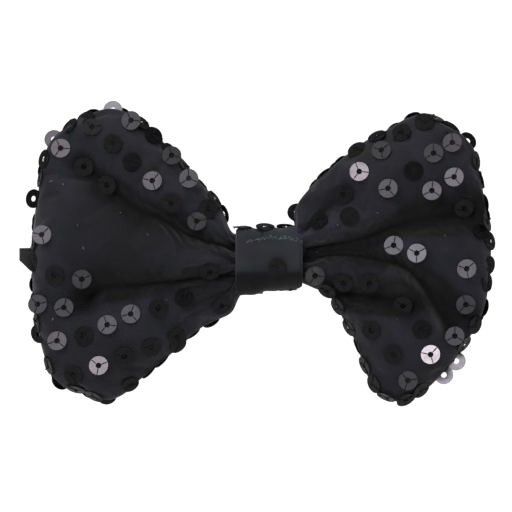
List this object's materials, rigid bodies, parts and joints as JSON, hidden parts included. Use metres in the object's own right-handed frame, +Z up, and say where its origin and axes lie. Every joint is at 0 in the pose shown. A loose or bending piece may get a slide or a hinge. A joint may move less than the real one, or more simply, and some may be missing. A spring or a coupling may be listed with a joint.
{
  "type": "hair bow clip",
  "caption": "Padded sequinned hair bow with a plain wrapped waist, on a ribbon-lined, sprung alligator clip.",
  "frame": {"origin": "on the clip's ribbon-lined grip face, straight behind the middle of the centre wrap", "axes": "+X to the right of someone facing the bow, -Y towards that person, +Y towards the hair, +Z up"},
  "size_m": [0.1241, 0.033, 0.0793],
  "materials": {
    "sequin_cloth": "matte",
    "wrap_cloth": "satin",
    "wadding": "matte",
    "thread": "satin",
    "sequin_film": "gloss",
    "felt": "matte",
    "glue": "satin",
    "ribbon": "satin",
    "plated_steel": "satin",
    "spring_steel": "satin"
  },
  "bodies": {
    "bow": {"left_front_cloth": "sequin_cloth", "left_back_cloth": "sequin_cloth", "left_wadding": "wadding", "left_front_sequins": "sequin_film", "left_back_sequins": "sequin_film", "left_rim_sequins": "sequin_film", "right_front_cloth": "sequin_cloth", "right_back_cloth": "sequin_cloth", "right_wadding": "wadding", "right_front_sequins": "sequin_film", "right_back_sequins": "sequin_film", "right_rim_sequins": "sequin_film", "waist_gathers": "sequin_cloth", "binding_thread": "thread", "centre_wrap": "wrap_cloth", "wrap_sequins": "sequin_film", "felt_backing": "felt", "felt_stitches": "thread", "clip_glue": "glue", "clip_upper_arm": "plated_steel", "clip_hinge_pin": "plated_steel", "clip_spring": "spring_steel", "clip_ribbon_lining": "ribbon"},
    "lower_arm": {"clip_lower_arm": "plated_steel"}
  },
  "joints": [
    {"name": "clip_hinge", "type": "hinge", "parent": "bow", "child": "lower_arm", "pos_m": [0.0084, 0.0032, 0], "axis": [0, 0, -1], "range_deg": [0, 25], "stiffness_Nm_per_rad": 0.12, "springref_deg": -28.65, "deforming": ["clip_spring"]}
  ]
}
